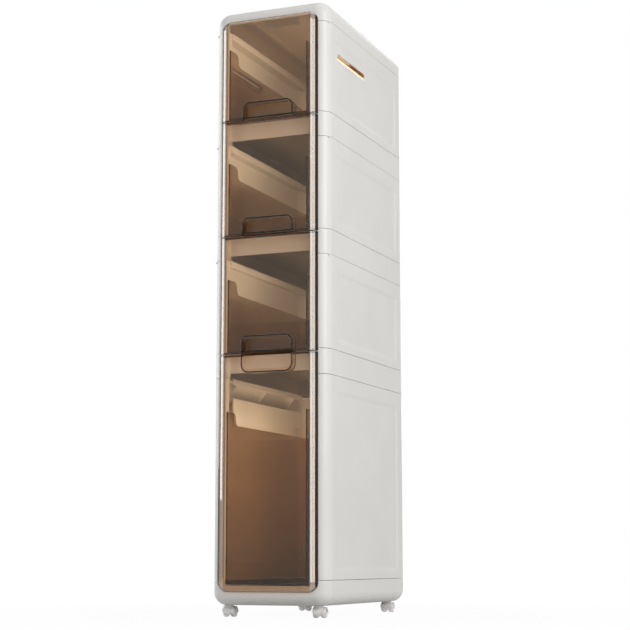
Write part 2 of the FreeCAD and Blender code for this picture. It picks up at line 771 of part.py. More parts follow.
def pull_outline(tier, height, grow, past, lip=ZERO):
    """The arch of a pull: at the lower edge of a front, or upside down at the top of the lowest one."""
    half = pull_width / 2 + grow
    reach = pull_height + grow - lip
    radius = pull_radius + grow
    if tier == tier_count:
        return [
            (half, height + past),
            (-half, height + past),
            (-half, height - reach, radius),
            (half, height - reach, radius),
        ]
    return [(-half, -past), (half, -past), (half, reach, radius), (-half, reach, radius)]


def drawer_pull(tier):
    """A finger cup with a lip across its mouth."""
    lower, upper, box_foot = drawer_levels(tier)
    height = upper - lower
    floor = box_foot + box_wall - lower
    body = new_body(f"drawer_pull_{tier}", ZERO, front_plane, lower)
    mouth = front_stand + pull_bead
    depth = pull_depth + pull_bead
    open_end = ZERO if tier == tier_count else -floor
    pad(body, "cup", "XZ_Plane", mouth, [pull_outline(tier, height, ZERO, open_end)], depth, reverse=True)
    cavity = pull_outline(tier, height, -pull_wall, overrun)
    pocket(body, "cavity", "XZ_Plane", mouth + overrun, [cavity], depth - pull_wall + overrun)
    plate = pull_outline(tier, height, -pull_wall / 2, open_end)
    pad(body, "mouth_plate", "XZ_Plane", mouth, [plate], pull_wall, reverse=True)
    opening = pull_outline(tier, height, -pull_wall, overrun, lip=pull_lip)
    pocket(body, "mouth", "XZ_Plane", mouth + overrun, [opening], pull_wall + overrun)


def drawer_box(tier):
    """An open box with low side walls that sweep up to the front."""
    lower, upper, box_foot = drawer_levels(tier)
    body = new_body(f"drawer_box_{tier}", ZERO, front_plane, box_foot)
    wall_top = low_box_height if tier == tier_count else box_height
    start = -(front_stand - front_wall)
    end = body_depth - panel_wall - back_wall - box_rear_gap
    crest = wall_top + shoulder_rise
    step = start + shoulder_length
    profile = [
        (start, ZERO),
        (end, ZERO),
        (end, wall_top),
        (step, wall_top, shoulder_radius),
        (step, crest, shoulder_radius),
        (start, crest),
    ]
    block = pad(body, "block", "YZ_Plane", ZERO, [profile], half_box * 2, middle=True)
    soften(
        body, "Fillet", "rounded_edges", block, box_edge_radius,
        lambda edge: near(edge.BoundBox.ZMax, 0) and near(edge.BoundBox.XLength, 0),
    )
    half = half_box - box_wall
    rear = end - box_wall
    inside = [
        (-half, start - overrun),
        (half, start - overrun),
        (half, rear, box_corner_radius),
        (-half, rear, box_corner_radius),
    ]
    depth = crest - box_wall + overrun
    pocket(body, "inside", "XY_Plane", crest + overrun, [inside], depth)


def caster(number, x, y):
    """One twin-wheel caster: socket in the base, swivelling yoke, axle and wheels."""
    place_y = front_plane + y
    axle_y = place_y + caster_trail
    axle_z = wheel_diameter / 2
    bearing = stem_diameter / 2 + stem_play

    socket = new_body(f"caster_socket_{number}", x, place_y, ground_clearance)
    sleeve = bearing + socket_wall
    top = panel_wall + boss_height - boss_wall - fit_gap
    revolve(socket, "sleeve", "XZ_Plane", "V_Axis", [[
        (bearing, -socket_flange),
        (socket_flange_width / 2, -socket_flange),
        (socket_flange_width / 2, ZERO),
        (sleeve, ZERO),
        (sleeve, top),
        (bearing, top),
    ]], FULL_TURN)

    yoke = new_body(f"caster_yoke_{number}", x, axle_y, axle_z)
    inner_hood = wheel_diameter / 2 + hood_gap
    outer_hood = inner_hood + hood_wall
    reach = web_thickness / 2 + web_gap + wheel_width
    revolve(yoke, "hood", "XY_Plane", "H_Axis", [rectangle(-reach, inner_hood, reach, outer_hood)], HALF_TURN)
    web_half = web_width / 2
    web_foot = -web_half
    web = [
        (-web_half, web_foot, web_radius),
        (web_half, web_foot, web_radius),
        (web_half, inner_hood),
        (-web_half, inner_hood),
    ]
    pad(yoke, "web", "YZ_Plane", ZERO, [web], web_thickness, middle=True)
    boss_top = ground_clearance - socket_flange - swivel_gap - axle_z
    boss = [[(ZERO, -caster_trail, swivel_boss_diameter)]]
    boss_root = inner_hood - hood_wall / 2
    pad(yoke, "swivel_boss", "XY_Plane", boss_root, boss, boss_top - boss_root)
    stem = [[(ZERO, -caster_trail, stem_diameter)]]
    pad(yoke, "stem", "XY_Plane", inner_hood, stem, boss_top - inner_hood + stem_length)
    bore = [(ZERO, ZERO, axle_diameter + axle_play)]
    pocket(yoke, "axle_bore", "YZ_Plane", ZERO, [bore], web_thickness + overrun, middle=True)

    axle = new_body(f"caster_axle_{number}", x, axle_y, axle_z)
    pad(axle, "pin", "YZ_Plane", ZERO, [[(ZERO, ZERO, axle_diameter)]], (reach - wheel_dish) * 2, middle=True)

    wheels = new_body(f"caster_wheels_{number}", x, axle_y, axle_z)
    loops = []
    tread = wheel_diameter / 2
    hub = wheel_hub / 2
    bore_radius = axle_diameter / 2 + axle_play
    near_face = web_thickness / 2 + web_gap
    for side in (-1, 1):
        loops.append([
            (near_face * side, bore_radius),
            (reach * side, bore_radius),
            (reach * side, hub),
            ((reach - wheel_dish) * side, hub),
            ((reach - wheel_dish) * side, tread - wheel_rim),
            (reach * side, tread - wheel_rim),
            (reach * side, tread, wheel_face_radius),
            (near_face * side, tread, wheel_edge_radius),
        ])
    revolve(wheels, "wheels", "XY_Plane", "H_Axis", loops, FULL_TURN)


top_cover()
for tier, (foot, height) in enumerate(zip(tier_feet, tier_heights), 1):
    side_panel(f"side_panel_left_{tier}", -1, tier, foot, height)
    side_panel(f"side_panel_right_{tier}", 1, tier, foot, height)
    back_panel(f"back_panel_{tier}", foot, height)
for number, foot in enumerate(bands, 1):
    shelf_frame(f"shelf_frame_{number}", foot)
base_piece()
guide_rail("guide_rail_left", -1)
guide_rail("guide_rail_right", 1)
for tier in range(1, tier_count + 1):
    drawer_front(tier)
    drawer_pull(tier)
    drawer_box(tier)
for number, (x, y) in enumerate(caster_places(), 1):
    caster(number, x, y)

doc.recompute()
for item in doc.Objects:
    if "Invalid" in item.State or "Error" in item.State:
        raise RuntimeError(f"{item.Label} failed: {item.State}")
for body in sub_parts:
    if body.Shape.isNull() or not body.Shape.isValid():
        raise RuntimeError(f"{body.Label} has no valid shape")
os.makedirs("parts", exist_ok=True)
for body in sub_parts:
    body.Shape.exportStep(f"parts/{body.Label}.step")
print(len(sub_parts), "sub-parts written")
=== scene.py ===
"""Looks of the slim four-tier storage trolley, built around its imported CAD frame. Metres."""
import math

import bmesh
import bpy
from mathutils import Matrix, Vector


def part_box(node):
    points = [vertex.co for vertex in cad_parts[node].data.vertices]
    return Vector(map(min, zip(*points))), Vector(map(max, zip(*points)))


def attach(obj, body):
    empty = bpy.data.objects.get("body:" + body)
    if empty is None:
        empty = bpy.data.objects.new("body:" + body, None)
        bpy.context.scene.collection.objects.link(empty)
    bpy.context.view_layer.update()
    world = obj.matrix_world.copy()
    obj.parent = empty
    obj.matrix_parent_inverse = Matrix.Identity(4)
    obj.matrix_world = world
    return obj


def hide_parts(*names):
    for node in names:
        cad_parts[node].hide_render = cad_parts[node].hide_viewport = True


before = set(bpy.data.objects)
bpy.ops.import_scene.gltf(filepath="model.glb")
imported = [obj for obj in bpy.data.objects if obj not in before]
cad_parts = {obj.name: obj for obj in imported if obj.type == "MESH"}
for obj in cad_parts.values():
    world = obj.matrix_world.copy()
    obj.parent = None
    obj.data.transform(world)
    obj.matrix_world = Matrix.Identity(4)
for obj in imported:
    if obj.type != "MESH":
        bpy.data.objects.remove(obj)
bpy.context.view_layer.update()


# Base
# The bowl-shaped foot of the stack, one white moulding with a satin skin and soft lower edges.
# It has a low front sill, two runners for the lowest drawer and a bored boss over each caster.
class Wire:
    """A socket of a finish's node tree: sums and products of wires add Math nodes."""

    def __init__(self, tree, socket=None):
        self.tree = tree
        self.socket = socket

    def node(self, kind, settings=None, values=None, out=0):
        """Adds one node: its settings first, then the values or wires of its sockets."""
        made = self.tree.nodes.new(kind)
        for name, value in (settings or {}).items():
            if name == "stops":
                ramp = made.color_ramp.elements
                while len(ramp) < len(value):
                    ramp.new(1.0)
                for stop, (place, colour) in zip(ramp, value):
                    stop.position = place
                    stop.color = colour
            else:
                setattr(made, name, value)
        for name, value in (values or {}).items():
            if isinstance(value, Wire):
                self.tree.links.new(value.socket, made.inputs[name])
            else:
                made.inputs[name].default_value = value
        return Wire(self.tree, made.outputs[out]) if made.outputs else made

    def maths(self, operation, first, second):
        return self.node("ShaderNodeMath", {"operation": operation}, {0: first, 1: second})

    def __add__(self, other):
        return self.maths("ADD", self, other)

    def __mul__(self, other):
        return self.maths("MULTIPLY", self, other)

    __radd__ = __add__
    __rmul__ = __mul__


def new_finish(name):
    """An empty node material and the wire that its nodes are added to."""
    finish = bpy.data.materials.new(name)
    finish.use_nodes = True
    finish.node_tree.nodes.clear()
    return finish, Wire(finish.node_tree)


def white_plastic():
    """Satin white plastic: fine mould grain, faint sink and flow marks."""
    finish, wire = new_finish("white_satin_plastic")
    place = wire.node("ShaderNodeTexCoord", out="Object")
    broad = wire.node("ShaderNodeTexNoise", None, {"Vector": place, "Scale": 9.0, "Detail": 3.0})
    grain = wire.node("ShaderNodeTexNoise", None, {"Vector": place, "Scale": 900.0, "Detail": 2.0})
    colour = wire.node("ShaderNodeValToRGB", {"stops": [
        (0.35, (0.815, 0.798, 0.768, 1.0)),
        (0.65, (0.845, 0.828, 0.798, 1.0)),
    ]}, {"Fac": broad})
    relief = wire.node("ShaderNodeBump", None, {"Height": grain, "Strength": 0.06, "Distance": 0.0002})
    shader = wire.node("ShaderNodeBsdfPrincipled", None, {
        "Base Color": colour,
        "Roughness": 0.34 + broad * 0.08,
        "Normal": relief,
        "IOR": 1.5,
    })
    wire.node("ShaderNodeOutputMaterial", None, {"Surface": shader})
    return finish


arc_steps = 12


def rounded(corners, steps=arc_steps):
    """Points of a closed outline through square corners (a, b) or (a, b, radius)."""
    points = []
    for number, corner in enumerate(corners):
        spot = Vector(corner[:2])
        if len(corner) == 2:
            points.append(spot)
            continue
        radius = corner[2]
        back = (Vector(corners[number - 1][:2]) - spot).normalized()
        onward = (Vector(corners[(number + 1) % len(corners)][:2]) - spot).normalized()
        centre = spot + (back + onward) * radius
        for step in range(steps + 1):
            turn = math.pi / 2 * step / steps
            points.append(centre - onward * radius * math.cos(turn) - back * radius * math.sin(turn))
    return points


def oblong(low_a, low_b, high_a, high_b, *radius):
    """The corners of a rectangle, all with the same rounding if one is given."""
    corners = ((low_a, low_b), (high_a, low_b), (high_a, high_b), (low_a, high_b))
    return [(*corner, *radius) for corner in corners]


def new_piece(name, shape):
    """Turns a bmesh into a piece of the scene with all its faces outwards and smooth."""
    bmesh.ops.remove_doubles(shape, verts=shape.verts, dist=1e-7)
    bmesh.ops.recalc_face_normals(shape, faces=shape.faces)
    mesh = bpy.data.meshes.new(name)
    shape.to_mesh(mesh)
    shape.free()
    mesh.shade_smooth()
    piece = bpy.data.objects.new(name, mesh)
    bpy.context.scene.collection.objects.link(piece)
    return piece


def stack(name, outlines, axis):
    """A closed solid through outlines (points, level) of equal count, along axis 0, 1 or 2."""
    shape = bmesh.new()
    rings = []
    for points, level in outlines:
        places = []
        for a, b in points:
            place = [a, b]
            place.insert(axis, level)
            places.append(shape.verts.new(place))
        rings.append(places)
    for first, second in zip(rings, rings[1:]):
        for number in range(len(first)):
            before = number - 1
            shape.faces.new((first[before], first[number], second[number], second[before]))
    shape.faces.new(rings[0])
    shape.faces.new(rings[-1])
    return new_piece(name, shape)


def prism(name, corners, axis, low, high):
    """A closed solid of one outline between two levels of an axis."""
    points = rounded(corners)
    return stack(name, [(points, low), (points, high)], axis)


def plain(piece, tools):
    """Applies a piece's modifiers, so that it is a plain mesh, and removes the solids they used."""
    graph = bpy.context.evaluated_depsgraph_get()
    made = bpy.data.meshes.new_from_object(piece.evaluated_get(graph))
    piece.modifiers.clear()
    piece.data = made
    for tool in tools:
        bpy.data.objects.remove(tool)
    return piece


def carve(piece, added, cut, edge):
    """Joins solids to a piece, cuts others out of it, and softens the edges as a mould leaves them."""
    for tool in (*added, *cut):
        step = piece.modifiers.new("carve", "BOOLEAN")
        step.operation = "UNION" if tool in added else "DIFFERENCE"
        step.solver = "EXACT"
        step.object = tool
    soft = piece.modifiers.new("soft", "BEVEL")
    soft.width = edge
    soft.segments = 2
    soft.limit_method = "ANGLE"
    soft.angle_limit = math.radians(32)
    soft.miter_outer = "MITER_ARC"
    even = piece.modifiers.new("even", "WEIGHTED_NORMAL")
    even.weight = 100
    return plain(piece, (*added, *cut))


def new_tree(name, **sockets):
    """An empty Geometry Nodes tree, the wire that its nodes are added to and the wires of its inputs."""
    tree = bpy.data.node_groups.new(name, "GeometryNodeTree")
    for socket, kind in sockets.items():
        tree.interface.new_socket(socket, in_out="INPUT", socket_type=f"NodeSocket{kind}")
    tree.interface.new_socket("Geometry", in_out="OUTPUT", socket_type="NodeSocketGeometry")
    wire = Wire(tree)
    return tree, wire, [wire.node("NodeGroupInput", out=socket) for socket in sockets]


def close_tree(wire, shape, finish):
    """The last nodes of a tree: real copies, their finish and the way out."""
    real = wire.node("GeometryNodeRealizeInstances", None, {"Geometry": shape})
    done = wire.node("GeometryNodeSetMaterial", None, {"Geometry": real, "Material": finish})
    wire.node("NodeGroupOutput", None, {"Geometry": done})


def row_nodes():
    """Geometry Nodes that repeat a solid in a straight row."""
    tree, wire, inputs = new_tree(
        "row_of_copies", Solid="Object", Count="Int", Step="Vector", Finish="Material")
    solid, count, step, finish = inputs
    line = wire.node("GeometryNodeMeshLine", {"mode": "OFFSET"}, {"Count": count, "Offset": step})
    shape = wire.node("GeometryNodeObjectInfo", None, {"Object": solid}, out="Geometry")
    copies = wire.node("GeometryNodeInstanceOnPoints", None, {"Points": line, "Instance": shape})
    close_tree(wire, copies, finish)
    return tree


def grown(name, tree, mesh, values, tools=()):
    """A piece made by a Geometry Nodes tree from a mesh and the values of its named inputs."""
    piece = bpy.data.objects.new(name, mesh)
    bpy.context.scene.collection.objects.link(piece)
    grow = piece.modifiers.new("grow", "NODES")
    grow.node_group = tree
    for item in tree.interface.items_tree:
        if item.name in values:
            grow[item.identifier] = values[item.name]
    return plain(piece, tools)


def in_row(solid, count, step):
    """Repeats a solid along a row: one piece with all its copies."""
    values = {"Solid": solid, "Count": count, "Step": step, "Finish": white}
    return grown(f"{solid.name}_row", row_tree, bpy.data.meshes.new("row"), values, [solid])


def settle(piece, finish, slot, body, *nodes):
    """Gives a piece its finish and puts it on its body in place of the CAD nodes."""
    piece.data.materials.clear()
    piece.data.materials.append(finish)
    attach(piece, body)
    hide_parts(*nodes)


white = white_plastic()
row_tree = row_nodes()
half_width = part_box("base")[1].x
front_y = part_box("base")[0].y
rear_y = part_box("base")[1].y
column_radius = 0.026
wall = 0.003
half_opening = 0.080
body_slot = "white_body"


def plan(inset):
    """The body's outline seen from above, drawn in by an inset."""
    half = half_width - inset
    return rounded(oblong(-half, front_y + inset, half, rear_y - inset, column_radius - inset))


def bowl(foot, rim, edge):
    """Outlines of a bowl with a rounded lower edge: up the outside and down the inside."""
    outlines = []
    direction = math.copysign(1.0, rim - foot)
    for skin, order in ((0.0, 1), (wall, -1)):
        side = []
        radius = edge - skin
        for step in range(arc_steps + 1):
            turn = math.pi / 2 * step / arc_steps
            inset = skin + radius - radius * math.sin(turn)
            side.append((plan(inset), foot + direction * (skin + radius - radius * math.cos(turn))))
        side.append((plan(skin), rim))
        outlines += side[::order]
    return outlines


base_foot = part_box("base")[0].z
base_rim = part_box("side_panel_left_4")[0].z
base_edge = 0.022
seam_gap = 0.00035  # each of two mouldings stands off their common seam by this
seam_edge = 0.0004
base = stack("base_bowl", bowl(base_foot, base_rim - seam_gap, base_edge), 2)
sill_drop = 0.0095
past = 0.004  # how far a cutting solid runs past the face that it cuts
sill = prism("sill", oblong(-half_opening, base_rim - sill_drop, half_opening, base_rim + past), 1,
             front_y - past, front_y + wall + past)
runner_place = 0.058
runner_half = 0.003


def runners(low_y, high_y, low_z, high_z):
    """The pair of strips that a drawer slides on."""
    strip = oblong(-runner_place - runner_half, low_y, -runner_place + runner_half, high_y)
    return in_row(prism("runner", strip, 2, low_z, high_z), 2, (2 * runner_place, 0.0, 0.0))


def disc(x, y, radius):
    """The corners of a full circle."""
    return oblong(x - radius, y - radius, x + radius, y + radius, radius)


runner_end = rear_y - wall - column_radius
runner_drop = 0.008
boss_radius = 0.00878
boss_height = 0.022
socket_radius = 0.00578
socket_height = 0.019
inside_foot = base_foot + wall / 2
base_added = [runners(front_y + base_edge, runner_end, inside_foot, base_rim - runner_drop)]
base_cut = [sill]
caster_numbers = (1, 2, 3, 4)
swivels = []
for number in caster_numbers:
    low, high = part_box(f"caster_socket_{number}")
    swivel = (low + high) / 2
    swivels.append(swivel)
    boss = disc(swivel.x, swivel.y, boss_radius)
    base_added.append(prism("boss", boss, 2, inside_foot, base_foot + boss_height))
    bore = disc(swivel.x, swivel.y, socket_radius)
    base_cut.append(prism("bore", bore, 2, base_foot - past, base_foot + socket_height))
settle(carve(base, base_added, base_cut, seam_edge), white, body_slot, "chassis", "base")


# Side panels
# One white panel per tier on each side, moulded with the round front column and the opening's lip.
# A shallow field with soft sloping borders is pressed into the outside of every panel.
tiers = (1, 2, 3, 4)
hands = (("left", -1), ("right", 1))
lip_depth = 0.012
lip_radius = 0.0012
rear_opening = 0.070


def side_skin(inset):
    """Half of the body's wall seen from above: lip, front flange, column, side and rear flange."""
    points = [(half_opening + inset, front_y + lip_depth)]
    lip = max(inset, lip_radius)
    corners = (
        ((half_opening + lip, front_y + lip), max(lip_radius - inset, 0.0), 180, 270),
        ((half_width - column_radius, front_y + column_radius), column_radius - inset, 270, 360),
        ((half_width - column_radius, rear_y - column_radius), column_radius - inset, 0, 90),
    )
    for number, (centre, radius, first, last) in enumerate(corners):
        if number == 2:
            start, end = front_y + column_radius, rear_y - column_radius
            points += [(half_width - inset, start + (end - start) * share) for share in column_shares]
        for step in range(arc_steps + 1):
            turn = math.radians(first + (last - first) * step / arc_steps)
            points.append((centre[0] + radius * math.cos(turn), centre[1] + radius * math.sin(turn)))
    points.append((rear_opening, rear_y - inset))
    return points


field_depth = 0.0018
field_slope = 0.010
field_radius = 0.012
field_front = front_y + 0.038
field_rear = rear_y - 0.044
field_lift = 0.012
field_drop = 0.024
border_width = field_slope * 1.6
border_steps = 12
straight = rear_y - front_y - 2 * column_radius


def borders(low, high):
    """Levels across the two sloping borders of a field, from its low end to its high one."""
    steps = [border_width * step / border_steps for step in range(border_steps + 1)]
    return [low + step for step in steps] + [high - border_width + step for step in steps]


column_places = borders(field_front, field_rear)
column_shares = [(place - front_y - column_radius) / straight for place in column_places]


def field_sink(y, z, foot, top):
    """How deep the field lies at a place on the side: its border slopes in softly."""
    half_y = (field_rear - field_front) / 2
    half_z = (top - foot) / 2
    out_y = abs(y - (field_rear + field_front) / 2) - half_y + field_radius
    out_z = abs(z - (top + foot) / 2) - half_z + field_radius
    beyond = math.hypot(max(out_y, 0.0), max(out_z, 0.0)) + min(max(out_y, out_z), 0.0) - field_radius
    share = min(max(-beyond / field_slope, 0.0), 1.0)
    return field_depth * share * share * (3 - 2 * share)


def panel_shell(name, side, foot, top):
    """The wall of one side panel, with the field on its skin."""
    field_foot = foot + field_lift
    field_top = top - field_drop
    levels = [foot, *borders(field_foot, field_top), top]
    skin, lining = side_skin(0.0), side_skin(wall)
    shape = bmesh.new()
    outer = []
    for x, y in skin:
        on_side = math.isclose(x, half_width, abs_tol=1e-6)
        sinks = [field_sink(y, z, field_foot, field_top) if on_side else 0.0 for z in levels]
        outer.append([shape.verts.new(((x - sink) * side, y, z)) for sink, z in zip(sinks, levels)])
    inner = [[shape.verts.new((x * side, y, z)) for z in (foot, top)] for x, y in lining]
    for first, second in zip(outer, outer[1:]):
        for row in range(len(levels) - 1):
            shape.faces.new((first[row], second[row], second[row + 1], first[row + 1]))
    for number in range(len(inner) - 1):
        first, second = inner[number], inner[number + 1]
        shape.faces.new((first[0], second[0], second[1], first[1]))
        for end in (0, -1):
            shape.faces.new((outer[number][end], outer[number + 1][end], second[end], first[end]))
    for end in (0, -1):
        shape.faces.new(outer[end] + inner[end][::-1])
    return new_piece(name, shape)


def slot_outline(grow):
    """The corners of a carry slot, grown on all sides."""
    return oblong(slot_front - grow, slot_foot - grow,
                  slot_rear + grow, slot_top + grow, slot_radius + grow)


def span(side, first, last):
    """Two levels on one side of the trolley, the lower one first."""
    return sorted((side * first, side * last))


ledge_edge = 0.078
ledge_height = 0.011
ledge_rear = 0.0315
wall_middle = half_width - wall / 2
slot_front = front_y + 0.052
slot_rear = slot_front + 0.137
slot_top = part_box("side_panel_left_1")[1].z - 0.048
slot_foot = slot_top - 0.012
slot_radius = 0.004
collar_depth = 0.0095
slot_depth = 0.015
for tier in tiers:
    for hand, side in hands:
        node = f"side_panel_{hand}_{tier}"
        low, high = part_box(node)
        panel = panel_shell(f"panel_{hand}_{tier}", side, low.z + seam_gap, high.z - seam_gap)
        added, cut = [], []
        if tier != tiers[-1]:
            hook = ledge_edge + wall
            section = [
                (wall_middle, high.z), (ledge_edge, high.z), (ledge_edge, high.z - ledge_height),
                (hook, high.z - ledge_height), (hook, high.z - wall), (wall_middle, high.z - wall),
            ]
            ledge = [(x * side, z) for x, z in section]
            added.append(prism("ledge", ledge, 1, front_y + lip_depth, rear_y - ledge_rear))
        if tier == tiers[0]:
            collar = span(side, wall_middle, half_width - collar_depth)
            added.append(prism("collar", slot_outline(wall), 0, *collar))
            through = span(side, half_width + past, half_width - slot_depth)
            cut.append(prism("slot", slot_outline(0.0), 0, *through))
        settle(carve(panel, added, cut, seam_edge), white, body_slot, "chassis", node)


# Back panels
# Plain white plates that drop in behind the rear flanges, one per tier.
# A shallow rounded field stiffens each plate.
plate_margin = 0.022
plate_flange = 0.012
plate_field = 0.0008
plate_edge = 0.0005
for tier in tiers:
    node = f"back_panel_{tier}"
    low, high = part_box(node)
    plate = prism(f"back_plate_{tier}", oblong(low.x, low.z, high.x, high.z), 1, low.y, high.y)
    field = oblong(low.x + plate_flange + plate_margin, low.z + plate_margin,
                   high.x - plate_flange - plate_margin, high.z - plate_margin, field_radius)
    hollow = prism("field", field, 1, high.y - plate_field, high.y + past)
    settle(carve(plate, [], [hollow], plate_edge), white, body_slot, "chassis", node)


# Shelf frames
# White bands moulded between the tiers: a wall all round, the shelf plate and a fascia set back.
# Ribs stiffen the plate from below; runners and strips on it carry and guide the drawer above.
band_height = 0.0445
plate_top = 0.0385
plate_foot = 0.0355
fascia_front = front_y + 0.014
fascia_back = fascia_front + wall
front_inside = front_y + wall
rear_inside = rear_y - wall
inner = half_width - wall
inner_radius = column_radius - wall
corner_back = half_opening + wall
gap_height = 0.0085
rib_count = 4
rib_step = 0.038
rib_height = 0.014
first_rib = -rib_step * (rib_count - 1) / 2
runner_height = 0.0035
# Each pair of strips: left face, front end, rear end and height over the plate
drawer_strips = (-0.081, fascia_back, rear_inside - 0.0027, 0.008)
panel_strips = (-0.1068, front_y + 0.060, rear_y - 0.060, 0.011)
for number in tiers[:-1]:
    node = f"shelf_frame_{number}"
    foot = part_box(node)[0].z
    outside = [
        (half_opening, front_y),
        (half_width, front_y, column_radius), (half_width, rear_y, column_radius),
        (-half_width, rear_y, column_radius), (-half_width, front_y, column_radius),
        (-half_opening, front_y), (-half_opening, fascia_front), (half_opening, fascia_front),
    ]
    band = prism(f"band_{number}", outside, 2, foot + seam_gap, foot + band_height - seam_gap)
    tray = [
        (half_opening, front_y - past), (half_opening, fascia_back), (inner, fascia_back),
        (inner, rear_inside, inner_radius), (-inner, rear_inside, inner_radius), (-inner, fascia_back),
        (-half_opening, fascia_back), (-half_opening, front_y - past),
    ]
    below = [
        (corner_back, front_inside),
        (inner, front_inside, inner_radius), (inner, rear_inside, inner_radius),
        (-inner, rear_inside, inner_radius), (-inner, front_inside, inner_radius),
        (-corner_back, front_inside), (-corner_back, fascia_back), (corner_back, fascia_back),
    ]
    gap = oblong(-half_opening, foot - past, half_opening, foot + gap_height)
    cut = [
        prism("tray", tray, 2, foot + plate_top, foot + band_height + past),
        prism("below", below, 2, foot - past, foot + plate_foot),
        prism("gap", gap, 1, front_y - past, fascia_back),
    ]
    half = wall / 2
    root = foot + plate_top - half
    rib_outline = oblong(first_rib - half, fascia_back - half, first_rib + half, rear_inside + half)
    rib = prism("rib", rib_outline, 2, foot + plate_foot - rib_height, root)
    added = [
        in_row(rib, rib_count, (rib_step, 0.0, 0.0)),
        runners(fascia_front, runner_end, root, foot + plate_top + runner_height),
    ]
    for place, low_y, high_y, height in (drawer_strips, panel_strips):
        outline = oblong(place, low_y, place + wall, high_y)
        strip = prism("strip", outline, 2, root, foot + plate_top + height)
        added.append(in_row(strip, 2, (-2 * place - wall, 0.0, 0.0)))
    settle(carve(band, added, cut, seam_edge), white, body_slot, "chassis", node)


# Guides
# White guides at the top of the low tier, one on each side: beam, recess with gussets and flat face.
# The face keeps the lowest drawer from tipping up, and a notch is cut in its rear end.
guide_beam = 0.010
guide_recess = 0.034
gusset_count = 3
gusset_start = 0.024
notch_length = 0.038
notch_foot = 0.008
notch_top = 0.017
face = ledge_edge + wall
for hand, side in hands:
    node = f"guide_rail_{hand}"
    low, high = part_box(node)
    top = high.z
    outer = max(abs(low.x), abs(high.x))
    lining = outer - wall
    recess = top - guide_recess
    section = [
        (outer, top), (ledge_edge, top), (ledge_edge, top - guide_beam), (face, top - guide_beam),
        (face, top - wall), (lining, top - wall), (lining, recess), (ledge_edge, recess),
        (ledge_edge, low.z), (face, low.z), (face, recess - wall), (outer, recess - wall),
    ]
    guide = prism(f"guide_{hand}", [(x * side, z) for x, z in section], 1, low.y, high.y)
    half = wall / 2
    web = [(lining + half, top - wall), (face - half, top - wall),
           (lining - half, recess - half), (lining + half, recess - half)]
    first = low.y + gusset_start
    step = (high.y - low.y - 2 * gusset_start - wall) / (gusset_count - 1)
    gusset = prism("gusset", [(x * side, z) for x, z in web], 1, first, first + wall)
    gussets = in_row(gusset, gusset_count, (0.0, step, 0.0))
    notch_outline = oblong(high.y - notch_length, low.z + notch_foot, high.y + past, low.z + notch_top)
    notch = prism("notch", notch_outline, 0, *span(side, face + wall, ledge_edge - wall))
    settle(carve(guide, [gussets], [notch], plate_edge), white, body_slot, "chassis", node)


# Top cover
# The shallow white lid with wide rounded edges, hollow underneath.
# Paired ribs stiffen it, and a short bar stops the top drawer.
cover_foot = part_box("top_cover")[0].z
cover_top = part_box("top_cover")[1].z
cover_edge = 0.024
cover = stack("cover_lid", bowl(cover_top, cover_foot + seam_gap, cover_edge), 2)
ceiling = cover_top - wall
ceiling_root = ceiling + wall / 2
pair_place = 0.060
pair_half = 0.0035
rib_half = 0.001
rib_drop = 0.008
cover_added = []
for middle in (-pair_place - pair_half, -pair_place + pair_half):
    outline = oblong(middle - rib_half, front_y + cover_edge, middle + rib_half, rear_y - cover_edge)
    rib = prism("rib", outline, 2, ceiling - rib_drop, ceiling_root)
    cover_added.append(in_row(rib, 2, (2 * pair_place, 0.0, 0.0)))
bar_half = 0.032
bar_front = front_y + 0.052
bar_depth = 0.010
bar_drop = 0.020
bar = oblong(-bar_half, bar_front, bar_half, bar_front + bar_depth)
cover_added.append(prism("bar", bar, 2, ceiling - bar_drop, ceiling_root))
opening_height = 0.012
opening = oblong(-half_opening, cover_foot - past, half_opening, cover_foot + opening_height)
cover_cut = [prism("opening", opening, 1, front_y - past, front_y + wall + past)]
settle(carve(cover, cover_added, cover_cut, seam_edge), white, body_slot, "chassis", "top_cover")


# Drawer boxes
# Open boxes of clear amber styrene, their side walls sweeping up to meet the fronts.
# The tint deepens with the length of the light's path, so edges look dark brown; painted shade darkens the
# box walls towards the foot.
# Each is welded to its front and slides on the runners of its tier.
def fade(wire, low, high):
    """Nought at one value of a wire, one at another, and even in between."""
    return wire.node("ShaderNodeMapRange", None, {"Value": wire, "From Min": low, "From Max": high})


def see_through(wire, glass, cast):
    """A clear shader that lets light by to other pieces, with a cast of colour."""
    passing = wire.node("ShaderNodeBsdfTransparent", None, {"Color": cast})
    shadow = wire.node("ShaderNodeLightPath", out="Is Shadow Ray")
    return wire.node("ShaderNodeMixShader", None, {0: shadow, 1: glass, 2: passing})


amber_pale = (0.92, 0.84, 0.74, 1.0)
amber_brown = (0.39, 0.30, 0.20, 1.0)
amber_dark = (0.016, 0.007, 0.005, 1.0)
amber_depth = (0.70, 0.43, 0.15, 1.0)
front_cast = (0.985, 0.975, 0.96, 1.0)
box_cast = (0.97, 0.92, 0.85, 1.0)


